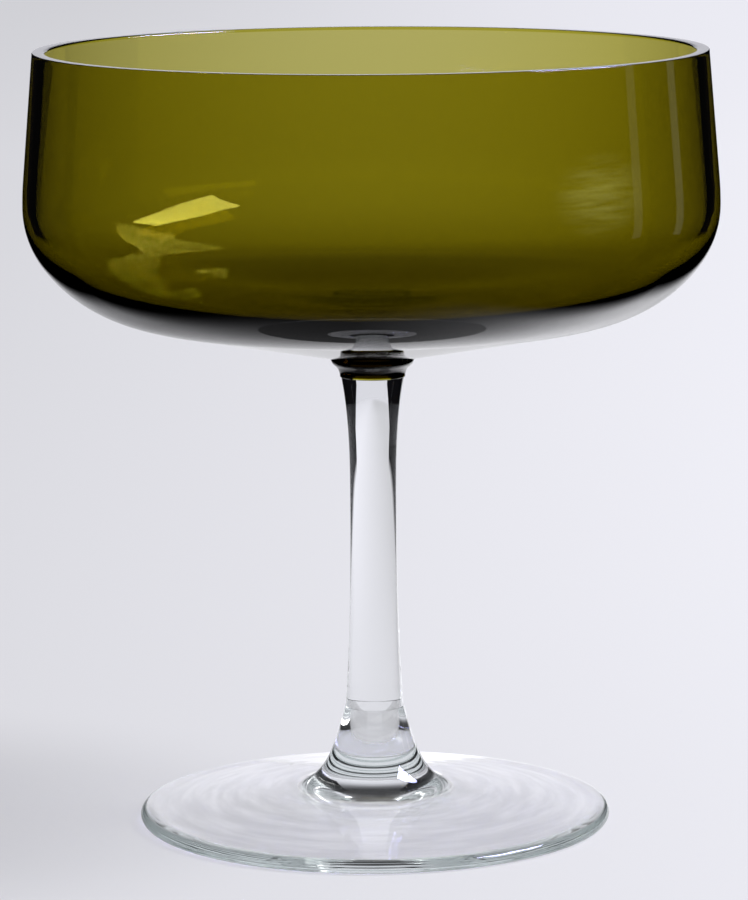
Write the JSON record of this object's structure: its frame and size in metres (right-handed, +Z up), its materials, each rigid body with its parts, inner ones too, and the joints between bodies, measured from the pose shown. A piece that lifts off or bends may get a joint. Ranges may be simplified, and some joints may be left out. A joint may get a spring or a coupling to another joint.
{
  "type": "sherbet glass",
  "caption": "Sherbet glass: a wide, shallow olive-green bowl with a thin straight wall, an olive collar, a slender clear stem and a clear round foot.",
  "frame": {"origin": "centre of the flat ring under the foot, on the surface that the glass stands on", "axes": "+Z up along the axis of the glass, from the foot to the rim; the glass is round, so +X and +Y are any two square directions on the table"},
  "size_m": [0.0984, 0.0984, 0.1106],
  "materials": {
    "olive_glass": "polished, tinted olive green",
    "olive_glass_collar": "polished, tinted olive green, dark because it is thick",
    "clear_glass_stem": "fire polished, clear",
    "clear_glass_foot": "fire polished, clear, faintly grey-green at the edge"
  },
  "bodies": {
    "root": {"bowl": "olive_glass", "collar": "olive_glass_collar", "stem": "clear_glass_stem", "foot": "clear_glass_foot"}
  },
  "joints": []
}
